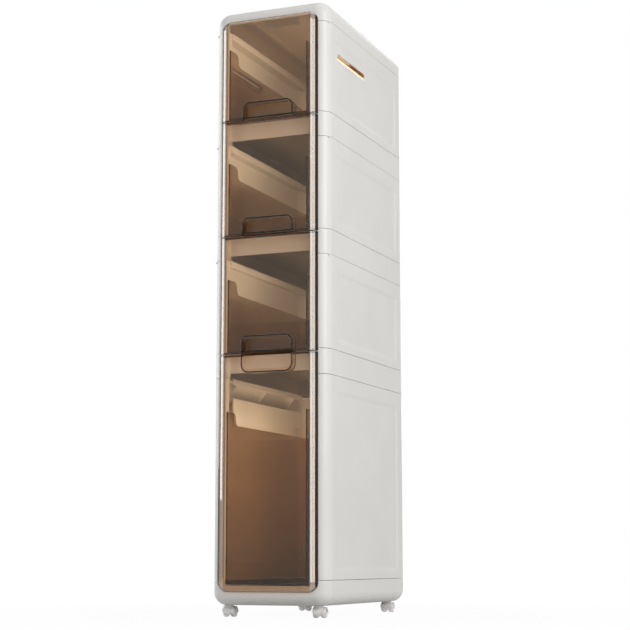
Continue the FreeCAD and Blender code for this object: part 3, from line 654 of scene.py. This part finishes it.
def amber_clear(name, colour=amber_pale, cast=front_cast, deep=None, polish=None):
    """Clear amber plastic of one colour, or dark where deep gives one; bright where polish gives one."""
    finish, wire = new_finish(name)
    place = wire.node("ShaderNodeTexCoord", out="Object")
    flow = wire.node("ShaderNodeTexNoise", None, {"Vector": place, "Scale": 11.0, "Detail": 1.0})
    waves = wire.node("ShaderNodeBump", None, {"Height": flow, "Strength": 0.01, "Distance": 0.001})
    if deep or polish:
        along = [wire.node("ShaderNodeSeparateXYZ", None, {0: place}, out=axis) for axis in range(3)]
    if deep:
        stops = [(0.0, amber_pale), (0.5, amber_brown), (1.0, amber_dark)]
        colour = wire.node("ShaderNodeValToRGB", {"stops": stops}, {"Fac": deep(*along)})
    glass = wire.node("ShaderNodeBsdfPrincipled", None, {
        "Base Color": colour,
        "Roughness": 0.0,
        "IOR": 1.49,
        "Specular IOR Level": 0.1,
        "Normal": waves,
        "Transmission Weight": 1.0,
        "Coat Weight": polish(*along) if polish else 0.0,
        "Coat IOR": 2.6,
        "Coat Roughness": 0.01,
    })
    surface = see_through(wire, glass, cast)
    depth = wire.node("ShaderNodeVolumeAbsorption", None, {"Color": amber_depth, "Density": 100.0})
    wire.node("ShaderNodeOutputMaterial", None, {"Surface": surface, "Volume": depth})
    return finish


drawer_slot = "amber_clear"
amber_edge = 0.0006
box_wall = 0.0025
box_corner = 0.010
shoulder_depth = 0.034
shoulder_height = 0.022
shoulder_sweep = 0.010
wall_tint = 0.27
# How much painted shade darkens the walls at the foot
foot_shade = 0.46
box_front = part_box("drawer_box_1")[0].y
box_rim = (box_front + 0.0012, box_front + 0.0006)


def box_tint_and_shade(foot, top):
    """The dark front edges of a box, and its walls with painted shade that grows darker towards the foot.
    """
    # Painted shade: the walls grow darker towards the foot.
    return lambda x, y, z: x.maths(
        "MAXIMUM", fade(y, *box_rim), wall_tint + foot_shade * fade(z, top, foot))


for tier in tiers:
    node = f"drawer_box_{tier}"
    low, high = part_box(node)
    shoulder = low.y + shoulder_depth
    wall_top = high.z - shoulder_height
    profile = [
        (low.y, low.z), (high.y, low.z), (high.y, wall_top),
        (shoulder, wall_top, shoulder_sweep), (shoulder, high.z, shoulder_sweep), (low.y, high.z),
    ]
    box = prism(f"box_{tier}", profile, 0, low.x, high.x)
    left, right, rear = low.x + box_wall, high.x - box_wall, high.y - box_wall
    inside_outline = [
        (left, low.y - past), (right, low.y - past), (right, rear, box_corner), (left, rear, box_corner),
    ]
    inside = prism("inside", inside_outline, 2, low.z + box_wall, high.z + past)
    amber_box_shaded = amber_clear(f"amber_box_{tier}", cast=box_cast, deep=box_tint_and_shade(low.z, wall_top))
    settle(carve(box, [], [inside], amber_edge), amber_box_shaded, drawer_slot, f"drawer_{tier}", node)


# Drawer fronts
# Dished panels of the same clear amber, with a wide polished rounding along the row's outer edges.
# They close edge to edge, and each has an arched cut-out for its pull.
front_wall = 0.003
front_edge = (0.013, 0.0085)
front_corner = 0.018
row_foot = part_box("drawer_front_4")[0].z
row_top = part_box("drawer_front_1")[1].z
fine_steps = 16


def front_row(name, inset, back):
    """The whole row of fronts as one slab with rounded corners and a rounded front edge."""
    low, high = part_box("drawer_front_2")
    edge_width, edge_depth = (reach - inset for reach in front_edge)
    rings = []
    for step in range(-1, fine_steps + 1):
        turn = math.pi / 2 * max(step, 0) / fine_steps
        level = back if step < 0 else low.y + inset + edge_depth * (1 - math.sin(turn))
        grow = inset + edge_width * (1 - math.cos(turn))
        corners = oblong(low.x + grow, row_foot + grow,
                         high.x - grow, row_top - grow, front_corner - grow)
        rings.append((rounded(corners, fine_steps), level))
    return stack(name, rings, 1)


def trim(piece, low, high):
    """Cuts a solid square at two heights."""
    shape = bmesh.new()
    shape.from_mesh(piece.data)
    for level, direction in ((low, -1), (high, 1)):
        cut = bmesh.ops.bisect_plane(
            shape, geom=shape.verts[:] + shape.edges[:] + shape.faces[:], plane_co=(0, 0, level),
            plane_no=(0, 0, direction), clear_outer=True)
        edges = [part for part in cut["geom_cut"] if isinstance(part, bmesh.types.BMEdge)]
        if edges:
            bmesh.ops.edgeloop_fill(shape, edges=edges)
    bmesh.ops.recalc_face_normals(shape, faces=shape.faces)
    shape.to_mesh(piece.data)
    shape.free()
    return piece


def arch(half, legs, crown, radius):
    """The outline of a pull: straight legs, rounded corners at the crown."""
    return [(-half, legs), (half, legs), (half, crown, radius), (-half, crown, radius)]


front_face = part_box("drawer_front_1")[0].y
front_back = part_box("drawer_front_1")[1].y
front_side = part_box("drawer_front_1")[1].x
# Where a tint begins and where it is full: from the middle outwards, from front to back, and upwards
polish_start = (0.0800, 0.0810)
side_start = (front_side - 0.0041, front_side - 0.0035)
side_end = (front_side, front_side - 0.0005)
weld_start = (0.0790, 0.0797)
weld_end = (0.0822, 0.0815)
rounding_start = (0.0815, 0.0830)
behind_face = (front_face + 0.0015, front_face + 0.0022)
rear_end = (front_back - 0.0016, front_back - 0.0008)
weld_foot = (row_foot + 0.022, row_foot + 0.024)
rounding_foot = (row_foot + 0.022, row_foot + 0.018)
weld_tint = 0.8
side_tint = 0.16
low_tint = 0.10


def front_ends(x, y, z):
    """The cut rear end of a front's wall, its outer sides, dark partly from the deeper tint through the
    edge and partly as painted shade of the gap behind them, and the weld lines of the box behind it.
    """
    across = x.maths("ABSOLUTE", x, 0.0)
    # The outer sides are dark partly from the deeper tint through the edge and partly as painted shade of
    # the gap behind them.
    sides = fade(across, *side_start) * fade(across, *side_end)
    welds = fade(across, *weld_start) * fade(across, *weld_end)
    welds *= fade(y, *behind_face) * fade(z, *weld_foot)
    ends = x.maths("MAXIMUM", fade(y, *rear_end), sides)
    edges = x.maths(
        "MAXIMUM", fade(across, *rounding_start) * side_tint, fade(z, *rounding_foot) * low_tint)
    return x.maths("MAXIMUM", ends, x.maths("MAXIMUM", welds * weld_tint, edges))


def front_sides(x, y, z):
    """The rounded upright edges of the fronts, up to their outer sides."""
    across = x.maths("ABSOLUTE", x, 0.0)
    return fade(across, *polish_start) * fade(across, *side_start[::-1])


amber_front = amber_clear("amber_fronts", deep=front_ends, polish=front_sides)
fronts = []
pull_half = 0.0485
pull_height = 0.032
pull_radius = 0.014
pull_gap = 0.0001
for tier in tiers:
    node = f"drawer_front_{tier}"
    low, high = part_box(node)
    front = trim(front_row(f"front_{tier}", 0.0, high.y), low.z, high.z)
    dish = trim(front_row("dish", front_wall, high.y + past), low.z + front_wall, high.z - front_wall)
    if tier == tiers[-1]:
        legs, crown = high.z + past, high.z - pull_height - pull_gap
    else:
        legs, crown = low.z - past, low.z + pull_height + pull_gap
    hole_outline = arch(pull_half + pull_gap, legs, crown, pull_radius + pull_gap)
    hole = prism("hole", hole_outline, 1, low.y - past, high.y + past)
    settle(carve(front, [], [dish, hole], amber_edge), amber_front, drawer_slot, f"drawer_{tier}", node)
    fronts.append(front)


# Drawer pulls
# Finger cups welded into the fronts, with a thin rounded rim and a lip to hook the fingers behind.
# They stand at the foot of the upper fronts and upside down at the top of the lowest one.
pull_wall = 0.0022
pull_lip = 0.004


def bead_nodes():
    """Geometry Nodes that run a round bead along a path of edges."""
    tree, wire, inputs = new_tree("bead_on_path", Path="Geometry", Radius="Float", Finish="Material")
    path, radius, finish = inputs
    curve = wire.node("GeometryNodeMeshToCurve", None, {"Mesh": path})
    ring = wire.node("GeometryNodeCurvePrimitiveCircle", None, {"Resolution": 12, "Radius": radius})
    bead = wire.node("GeometryNodeCurveToMesh", None, {
        "Curve": curve,
        "Profile Curve": ring,
        "Fill Caps": True,
    })
    smooth = wire.node("GeometryNodeSetShadeSmooth", None, {"Geometry": bead})
    close_tree(wire, smooth, finish)
    return tree


def path_mesh(name, places):
    """An open path of edges."""
    mesh = bpy.data.meshes.new(name)
    mesh.from_pydata(places, [(number, number + 1) for number in range(len(places) - 1)], [])
    return mesh


amber_pull = amber_clear("amber_pulls")
amber_rim = amber_clear("amber_rims", amber_dark)
bead_tree = bead_nodes()
bead_radius = 0.0010
for tier in tiers:
    node = f"drawer_pull_{tier}"
    low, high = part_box(node)
    up = -1 if tier == tiers[-1] else 1
    legs, crown = (low.z, high.z)[::up]
    cup = prism(f"pull_{tier}", arch(pull_half, legs, crown, pull_radius), 1, low.y + bead_radius, high.y)
    cup_half, cup_radius, cup_legs = pull_half - pull_wall, pull_radius - pull_wall, legs - past * up
    cavity_outline = arch(cup_half, cup_legs, crown - pull_wall * up, cup_radius)
    cavity = prism("cavity", cavity_outline, 1, low.y + pull_wall, high.y - pull_wall)
    mouth_outline = arch(cup_half, cup_legs, crown - (pull_wall + pull_lip) * up, cup_radius)
    mouth = prism("mouth", mouth_outline, 1, low.y - past, low.y + 2 * pull_wall)
    settle(carve(cup, [], [cavity, mouth], amber_edge), amber_pull, drawer_slot, f"drawer_{tier}", node)
    rim = arch(pull_half - bead_radius, legs, crown - bead_radius * up, pull_radius - bead_radius)
    points = rounded(rim, fine_steps)
    path = path_mesh("rim", [(x, low.y + bead_radius, z) for x, z in points[1:] + points[:1]])
    bead = grown(f"pull_rim_{tier}", bead_tree, path, {"Radius": bead_radius, "Finish": amber_rim})
    settle(bead, amber_rim, drawer_slot, f"drawer_{tier}")


# Carry slot linings
# Amber rings pressed into the carry slots of the top pair of panels, flush with the field around them.
# The wide lower lip and the front are golden; the upper lip and the rear are painted brown as shade inside
# the slot.
lining_depth = 0.009
lining_edge = 0.0004
ring_end = 0.002
ring_foot = 0.0042
ring_top = 0.0012
ring_radius = 0.002
shade_behind = (slot_front + 0.060, slot_front + 0.078)
shade_above = (slot_foot + 0.0038, slot_foot + 0.0044)
shade_top = (slot_top - 0.0011, slot_top - 0.0009)
behind_shade = 0.8
streak_tint = 0.3


def lining_amber():
    """Amber plastic over the white panel: golden, with painted shade in brown above and behind, and
    streaked.
    """
    finish, wire = new_finish("amber_linings")
    place = wire.node("ShaderNodeTexCoord", out="Object")
    length, height = (wire.node("ShaderNodeSeparateXYZ", None, {0: place}, out=axis) for axis in (1, 2))
    streaks = wire.node("ShaderNodeTexNoise", None, {"Vector": place, "Scale": 60.0, "Detail": 2.0})
    # Painted shade: brown along the upper lip and over the rear part above the lower lip.
    behind = fade(length, *shade_behind) * fade(height, *shade_above)
    brown = wire.maths("MAXIMUM", fade(height, *shade_top), behind * behind_shade)
    colour = wire.node("ShaderNodeValToRGB", {"stops": [
        (0.0, (0.97, 0.72, 0.48, 1.0)),
        (0.45, (0.72, 0.36, 0.13, 1.0)),
        (1.0, (0.16, 0.07, 0.025, 1.0)),
    ]}, {"Fac": brown + streaks * streak_tint + -streak_tint / 2})
    shader = wire.node("ShaderNodeBsdfPrincipled", None, {
        "Base Color": colour,
        "Roughness": 0.08 + streaks * 0.06,
        "IOR": 1.49,
        "Transmission Weight": 0.1,
        "Coat Weight": 0.5,
    })
    wire.node("ShaderNodeOutputMaterial", None, {"Surface": shader})
    return finish


amber_lining = lining_amber()
linings = []
for hand, side in hands:
    near, far = span(side, half_width - field_depth, half_width - lining_depth)
    outline = oblong(slot_front + pull_gap, slot_foot + pull_gap,
                     slot_rear - pull_gap, slot_top - pull_gap, slot_radius)
    ring = prism(f"slot_lining_{hand}", outline, 0, near, far)
    hole = oblong(slot_front + ring_end, slot_foot + ring_foot,
                  slot_rear - ring_end, slot_top - ring_top, ring_radius)
    through = prism("through", hole, 0, near - past, far + past)
    settle(carve(ring, [], [through], lining_edge), amber_lining, drawer_slot, "chassis")
    linings.append(ring)


# Casters
# Small twin-wheel casters moulded in frosted clear plastic, on steel axles and in white sockets.
# Each swivels on a stem in the base.
def caster_clear():
    """Frosted clear plastic with a little haze."""
    finish, wire = new_finish("caster_clear_plastic")
    place = wire.node("ShaderNodeTexCoord", out="Object")
    haze = wire.node("ShaderNodeTexNoise", None, {"Vector": place, "Scale": 60.0, "Detail": 2.0})
    glass = wire.node("ShaderNodeBsdfPrincipled", None, {
        "Base Color": (0.90, 0.885, 0.87, 1.0),
        "Roughness": 0.26 + haze * 0.12,
        "IOR": 1.49,
        "Transmission Weight": 0.35,
    })
    surface = see_through(wire, glass, (0.92, 0.92, 0.92, 1.0))
    wire.node("ShaderNodeOutputMaterial", None, {"Surface": surface})
    return finish


def axle_steel():
    """Drawn steel wire with fine marks."""
    finish, wire = new_finish("axle_steel")
    place = wire.node("ShaderNodeTexCoord", out="Object")
    marks = wire.node("ShaderNodeTexNoise", None, {"Vector": place, "Scale": 700.0, "Detail": 2.0})
    shader = wire.node("ShaderNodeBsdfPrincipled", None, {
        "Base Color": (0.62, 0.62, 0.63, 1.0),
        "Metallic": 1.0,
        "Roughness": 0.22 + marks * 0.15,
    })
    wire.node("ShaderNodeOutputMaterial", None, {"Surface": shader})
    return finish


turn_steps = 48
hood_steps = 32


def lathe(name, outline, centre):
    """A closed solid: an outline (along, radius) turned about a level axis through a centre."""
    shape = bmesh.new()
    rings = []
    for along, radius in outline:
        ring = []
        for step in range(turn_steps):
            turn = 2 * math.pi * step / turn_steps
            spoke = Vector((along, radius * math.cos(turn), radius * math.sin(turn)))
            ring.append(shape.verts.new(centre + spoke))
        rings.append(ring)
    for number, ring in enumerate(rings):
        for step in range(turn_steps):
            before = rings[number - 1]
            shape.faces.new((before[step - 1], before[step], ring[step], ring[step - 1]))
    return new_piece(name, shape)


def half_ring(centre, radius):
    """Points of an arc over a centre, from front to rear."""
    turns = [math.pi * step / hood_steps for step in range(hood_steps + 1)]
    return [(centre.y - radius * math.cos(turn), centre.z + radius * math.sin(turn)) for turn in turns]


clear = caster_clear()
steel = axle_steel()
caster_slot = "clear_caster"
caster_edge = 0.0003
wheel_bore = 0.0016
wheel_hub = 0.003
wheel_near = 0.0028
wheel_far = 0.0108
wheel_dish = 0.0015
wheel_rim = 0.0022
near_round = 0.0022
far_round = 0.00125
round_steps = 6
hood_gap = 0.0009
hood_wall = 0.0016
web_half = 0.005
web_half_wall = 0.002
neck_radius = 0.0075
neck_gap = 0.0003
stem_radius = 0.0035
stem_root = 0.002
axle_bore = 0.00154
for number, swivel in zip(caster_numbers, swivels):
    low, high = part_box(f"caster_axle_{number}")
    axle = (low + high) / 2
    wheel_radius = axle.z
    dish, tread = wheel_far - wheel_dish, wheel_radius - wheel_rim
    section = rounded([
        (wheel_near, wheel_bore), (wheel_far, wheel_bore), (wheel_far, wheel_hub), (dish, wheel_hub),
        (dish, tread), (wheel_far, tread),
        (wheel_far, wheel_radius, far_round), (wheel_near, wheel_radius, near_round),
    ], round_steps)
    wheels = lathe(f"wheels_{number}", section, axle)
    twin = lathe("twin", [(-along, radius) for along, radius in section], axle)
    carve(wheels, [twin], [], caster_edge)
    settle(wheels, clear, caster_slot, f"wheels_{number}", f"caster_wheels_{number}")
    hood_radius = wheel_radius + hood_gap
    hood = half_ring(axle, hood_radius + hood_wall) + half_ring(axle, hood_radius)[::-1]
    yoke = stack(f"yoke_{number}", [(hood, axle.x - wheel_far), (hood, axle.x + wheel_far)], 0)
    crest = axle.z + hood_radius
    web = oblong(axle.y - web_half, axle.z - web_half, axle.y + web_half, crest + hood_wall / 2)
    neck_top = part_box(f"caster_socket_{number}")[0].z - neck_gap
    stem_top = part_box(f"caster_yoke_{number}")[1].z
    added = [
        prism("web", web, 0, axle.x - web_half_wall, axle.x + web_half_wall),
        prism("neck", disc(swivel.x, swivel.y, neck_radius), 2, crest - hood_wall / 2, neck_top),
        prism("stem", disc(swivel.x, swivel.y, stem_radius), 2, neck_top - stem_root, stem_top),
    ]
    bore = prism("bore", disc(axle.y, axle.z, axle_bore), 0, axle.x - past, axle.x + past)
    carve(yoke, added, [bore], caster_edge)
    settle(yoke, clear, caster_slot, f"swivel_{number}", f"caster_yoke_{number}")
    for kind, finish in (("axle", steel), ("socket", white)):
        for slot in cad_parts[f"caster_{kind}_{number}"].material_slots:
            slot.material = finish


# Studio
# A plain white floor that keeps a faint shadow, and a white surround that lights the trolley dimly.
# Two white cards show in the fronts' upright edges only.
# Soft lamps stand around the trolley and small ones inside it, and the camera stands low in front.
def ray(wire, fact):
    """A fact about the ray that is being followed."""
    return wire.node("ShaderNodeLightPath", out=fact)


def unscattered(wire):
    """One unless a matt surface has scattered the ray."""
    return wire.maths("LESS_THAN", ray(wire, "Diffuse Depth"), 0.5)


gloss_share = 0.3


def seen_ray(wire):
    """One for what the camera sees directly or through clear plastic, a part for what it sees in gloss."""
    seen = wire.maths("MAXIMUM", ray(wire, "Is Camera Ray"), ray(wire, "Is Transmission Ray"))
    return wire.maths("MAXIMUM", seen, ray(wire, "Is Glossy Ray") * gloss_share) * unscattered(wire)


pure_white = (1.0, 1.0, 1.0, 1.0)
shadow_share = 0.03
shadow_reach = (0.35, 1.0)


def floor_white():
    """Matt white, and plain white to the eye apart from a faint shadow near the trolley."""
    finish, wire = new_finish("studio_floor")
    place = wire.node("ShaderNodeTexCoord", out="Object")
    away = wire.node("ShaderNodeVectorMath", {"operation": "LENGTH"}, {0: place}, out="Value")
    matt = wire.node("ShaderNodeBsdfDiffuse", None, {"Color": (0.60, 0.60, 0.60, 1.0)})
    bright = wire.node("ShaderNodeEmission", None, {"Color": pure_white, "Strength": 1.0})
    plain_white = seen_ray(wire) * (1.0 - shadow_share + shadow_share * fade(away, *shadow_reach))
    both = wire.node("ShaderNodeMixShader", None, {0: plain_white, 1: matt, 2: bright})
    wire.node("ShaderNodeOutputMaterial", None, {"Surface": both})
    return finish


floor_reach = 30.0
shape = bmesh.new()
bmesh.ops.create_grid(shape, x_segments=1, y_segments=1, size=floor_reach)
floor = new_piece("floor", shape)
floor.data.materials.append(floor_white())

world = bpy.data.worlds.new("studio")
bpy.context.scene.world = world
world.use_nodes = True
world.node_tree.nodes.clear()
sky = Wire(world.node_tree)
dim = sky.node("ShaderNodeBackground", None, {"Color": pure_white, "Strength": 0.24})
bright = sky.node("ShaderNodeBackground", None, {"Color": pure_white, "Strength": 1.0})
surround = sky.node("ShaderNodeMixShader", None, {0: seen_ray(sky), 1: dim, 2: bright})
sky.node("ShaderNodeOutputWorld", None, {"Surface": surround})


def card_white():
    """A white card that is seen in polished surfaces only."""
    finish, wire = new_finish("reflector_card")
    unseen = wire.node("ShaderNodeBsdfTransparent", None, {"Color": pure_white})
    glow = wire.node("ShaderNodeEmission", None, {"Color": pure_white, "Strength": 2.1})
    shown = ray(wire, "Is Glossy Ray") * unscattered(wire)
    both = wire.node("ShaderNodeMixShader", None, {0: shown, 1: unseen, 2: glow})
    wire.node("ShaderNodeOutputMaterial", None, {"Surface": both})
    finish.cycles.emission_sampling = "NONE"
    return finish


def linked(name, pieces, state="INCLUDE"):
    """A collection that holds the pieces which a lamp or card shines on, or spares."""
    group = bpy.data.collections.new(name)
    for piece in pieces:
        group.objects.link(piece)
    for link in group.collection_objects:
        link.light_linking.link_state = state
    return group


card_finish = card_white()
card_away = 2.2
card_top = 2.1
card_turns = ((-14, 13), (22, 50))  # bearings of the two ends of each card, in degrees
for first, last in card_turns:
    name = f"card_{first - card_turns[0][0]}"
    shape = bmesh.new()
    feet = []
    for turn in (math.radians(first), math.radians(last)):
        feet.append((front_side + card_away * math.sin(turn), front_y - card_away * math.cos(turn)))
    corners = [(*feet[0], 0.0), (*feet[1], 0.0), (*feet[1], card_top), (*feet[0], card_top)]
    shape.faces.new([shape.verts.new(corner) for corner in corners])
    card = new_piece(name, shape)
    card.data.materials.append(card_finish)
    card.light_linking.receiver_collection = linked(f"{name}_pieces", fronts)


trolley_middle = (0.0, 0.0, 0.55)


def soft_lamp(name, place, size, power, aim=trolley_middle, pieces=(), colour=pure_white[:3]):
    """A soft lamp that shines on the pieces given, or on all if none is."""
    lamp = bpy.data.lights.new(name, "AREA")
    lamp.shape = "RECTANGLE"
    lamp.size, lamp.size_y = size
    lamp.energy = power
    lamp.color = colour
    holder = bpy.data.objects.new(name, lamp)
    holder.location = place
    holder.rotation_euler = (Vector(aim) - Vector(place)).to_track_quat("-Z", "Y").to_euler()
    holder.visible_camera = False
    holder.visible_transmission = False
    bpy.context.scene.collection.objects.link(holder)
    if pieces:
        holder.light_linking.receiver_collection = linked(f"{name}_pieces", pieces)
    return holder


key = soft_lamp("key_lamp", (2.95, -1.15, 1.45), (0.6, 1.8), 42.0)
key.light_linking.receiver_collection = linked("key_lamp_spares", fronts, "EXCLUDE")
soft_lamp("fill_lamp", (2.45, -2.25, 1.45), (1.2, 2.0), 24.0)
soft_lamp("left_lamp", (-2.6, -2.2, 1.3), (1.5, 2.0), 24.0)
soft_lamp("side_lamp", (-3.0, 0.6, 1.4), (1.2, 2.0), 32.0)
soft_lamp("rear_lamp", (-0.5, 3.0, 1.5), (1.5, 2.0), 32.0)
soft_lamp("top_lamp", (0.2, 0.2, 3.2), (2.0, 2.0), 13.0)
inner_place = (0.068, -0.13)
inner_aim = (-0.1, 0.02)
inner_width = 0.12
inner_level = 0.38
inner_height = 0.7
inner_power = 3.1  # watts for each metre of the lamp's height
inner_colour = (1.0, 0.86, 0.68)
for tier in tiers:
    lit = [bpy.data.objects[name] for name in (f"panel_left_{tier}", f"back_plate_{tier}", "guide_left")]
    low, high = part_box(f"side_panel_left_{tier}")
    level = low.z + inner_level * (high.z - low.z)
    reach = inner_height * (high.z - low.z)
    soft_lamp(f"inner_lamp_{tier}", (*inner_place, level), (inner_width, reach), inner_power * reach,
              (*inner_aim, level), lit, inner_colour)
lid_colour = (1.0, 0.66, 0.40)
soft_lamp("lid_lamp", (0.065, -0.02, 0.97), (0.25, 0.03), 0.07, (-0.02, -0.02, 1.06), [cover], lid_colour)
soft_lamp("slot_lamp", (1.3, -0.6, 0.2), (0.4, 0.4), 26.0, (0.11, -0.07, 0.98), linings)

lens = bpy.data.cameras.new("camera")
lens.sensor_width = 36.0
lens.lens = 91.35
lens.clip_end = 100.0
camera = bpy.data.objects.new("camera", lens)
camera.location = (1.1254, -2.7058, 0.0988)
camera_tilt = math.radians(90.0 + 8.673)
camera_turn = math.radians(22.463)
camera.rotation_euler = (camera_tilt, 0.0, camera_turn)
bpy.context.scene.collection.objects.link(camera)
bpy.context.scene.camera = camera
bpy.context.scene.view_settings.view_transform = "Standard"
